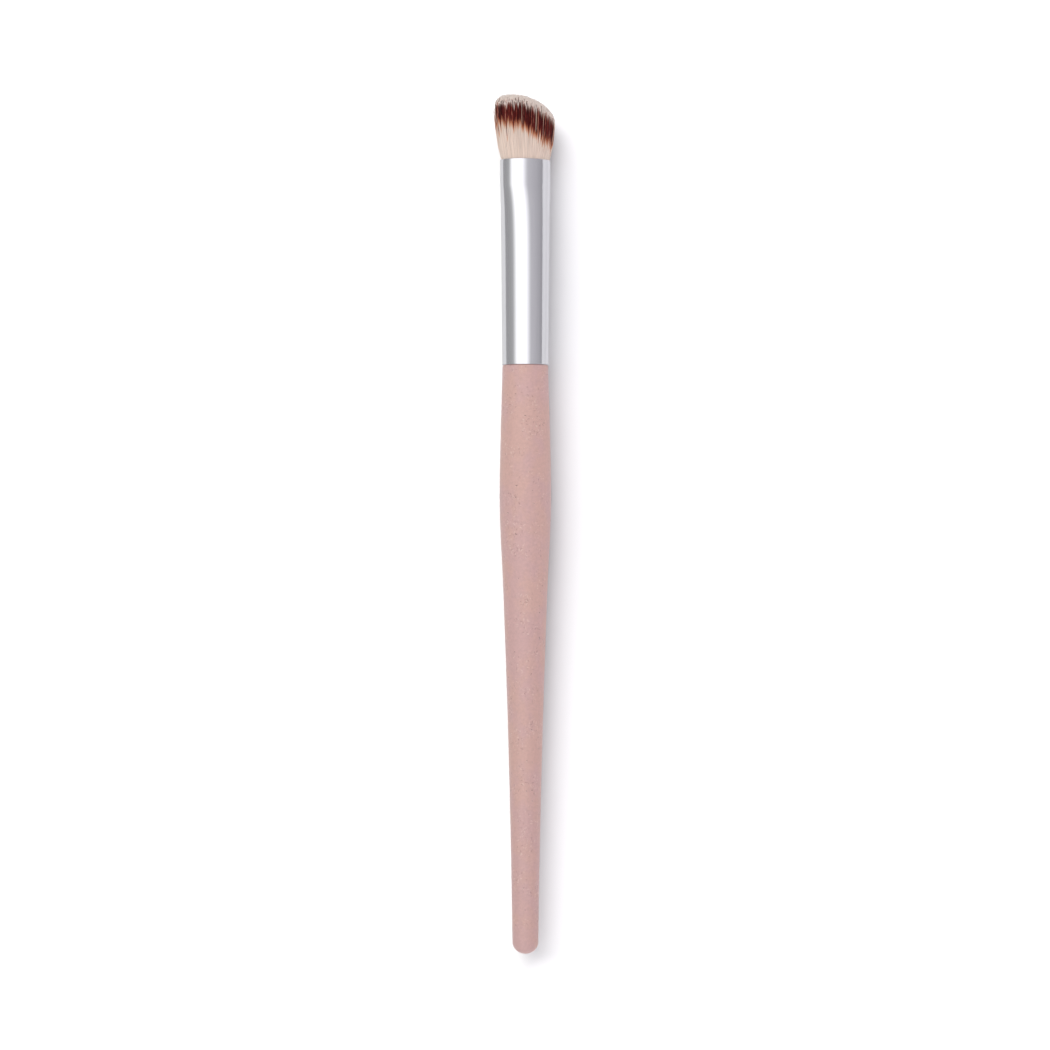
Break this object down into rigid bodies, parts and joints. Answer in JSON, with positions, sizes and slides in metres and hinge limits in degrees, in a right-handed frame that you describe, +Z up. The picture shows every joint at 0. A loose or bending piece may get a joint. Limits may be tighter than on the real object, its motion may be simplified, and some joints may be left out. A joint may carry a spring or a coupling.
{
  "type": "angled makeup brush",
  "caption": "Makeup brush with a tapered round handle, a plain tube ferrule pressed oval at the mouth and a domed tuft cut on a slant.",
  "frame": {"origin": "on the table, under the middle of the brush's length and width as it lies on its belly and its tuft", "axes": "+Y along the brush from the butt to the bristle tips, +Z up from the table; the broad face of the oval mouth looks 30 degrees to +X of straight up, and the long side of the slanted tuft is towards -X"},
  "size_m": [0.0117, 0.1698, 0.0106],
  "materials": {
    "handle": "matte",
    "ferrule": "polished",
    "filament": "satin",
    "thread": "matte",
    "epoxy": "gloss",
    "adhesive": "satin"
  },
  "bodies": {
    "root": {"handle": "handle", "ferrule": "ferrule", "bristle_tuft": "filament", "tie_thread": "thread", "root_plug": "epoxy", "glue_ring_1": "adhesive", "glue_ring_2": "adhesive", "glue_ring_3": "adhesive"}
  },
  "joints": []
}
